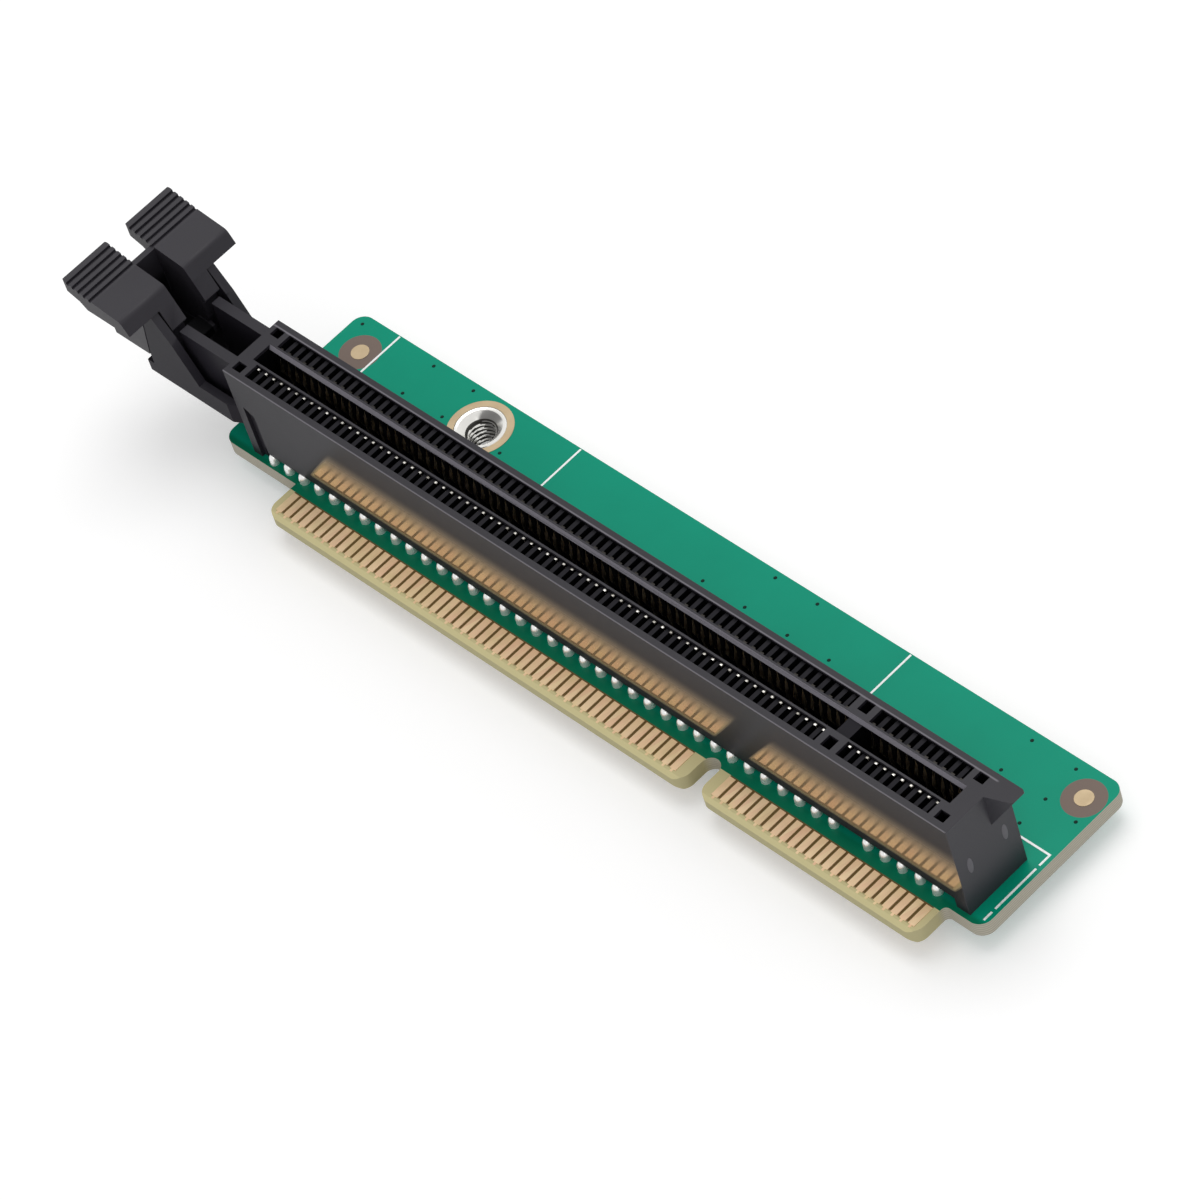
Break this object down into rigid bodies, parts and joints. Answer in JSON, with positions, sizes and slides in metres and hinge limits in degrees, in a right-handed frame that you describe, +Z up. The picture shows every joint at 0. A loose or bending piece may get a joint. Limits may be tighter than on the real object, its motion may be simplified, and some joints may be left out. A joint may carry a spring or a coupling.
{
  "type": "pcie riser card",
  "caption": "Riser card: a circuit board with a gold card-edge tab, a tall expansion slot soldered on top, a threaded insert and a pivoting card latch at one end.",
  "frame": {"origin": "middle of the key notch, on the outer edge of the card-edge tab, half way through the board", "axes": "+X along the slot away from the latch, +Y from the tab to the back edge, +Z up out of the slot"},
  "size_m": [0.1075, 0.0216, 0.0195],
  "materials": {
    "board_laminate": "green solder mask over glass laminate, bare and beige at the tab and the edges",
    "housing_plastic": "satin black glass-filled moulding",
    "latch_plastic": "satin charcoal moulding",
    "finger_gold": "hard gold plating over copper",
    "contact_metal": "stamped copper alloy, gold on the crest and tin on the tail",
    "solder": "bright solder",
    "insert_steel": "bright plated steel",
    "pad_gold": "immersion gold over copper"
  },
  "bodies": {
    "card": {"circuit_board": "board_laminate", "top_gold_fingers_long": "finger_gold", "top_gold_fingers_short": "finger_gold", "bottom_gold_fingers_long": "finger_gold", "bottom_gold_fingers_short": "finger_gold", "slot_housing": "housing_plastic", "front_contacts_outer_long": "contact_metal", "front_contacts_outer_short": "contact_metal", "front_contacts_inner_long": "contact_metal", "front_contacts_inner_short": "contact_metal", "back_contacts_outer_long": "contact_metal", "back_contacts_outer_short": "contact_metal", "back_contacts_inner_long": "contact_metal", "back_contacts_inner_short": "contact_metal", "solder_joints_front": "solder", "threaded_insert": "insert_steel", "insert_pad_top": "pad_gold", "insert_pad_bottom": "pad_gold", "fiducial_pads": "pad_gold"},
    "latch": {"retention_latch": "latch_plastic"}
  },
  "joints": [
    {"name": "latch_hinge", "type": "hinge", "parent": "card", "child": "latch", "pos_m": [-0.0695, 0.0078, 0.00658], "axis": [0, -1, 0], "range_deg": [0, 25]}
  ]
}
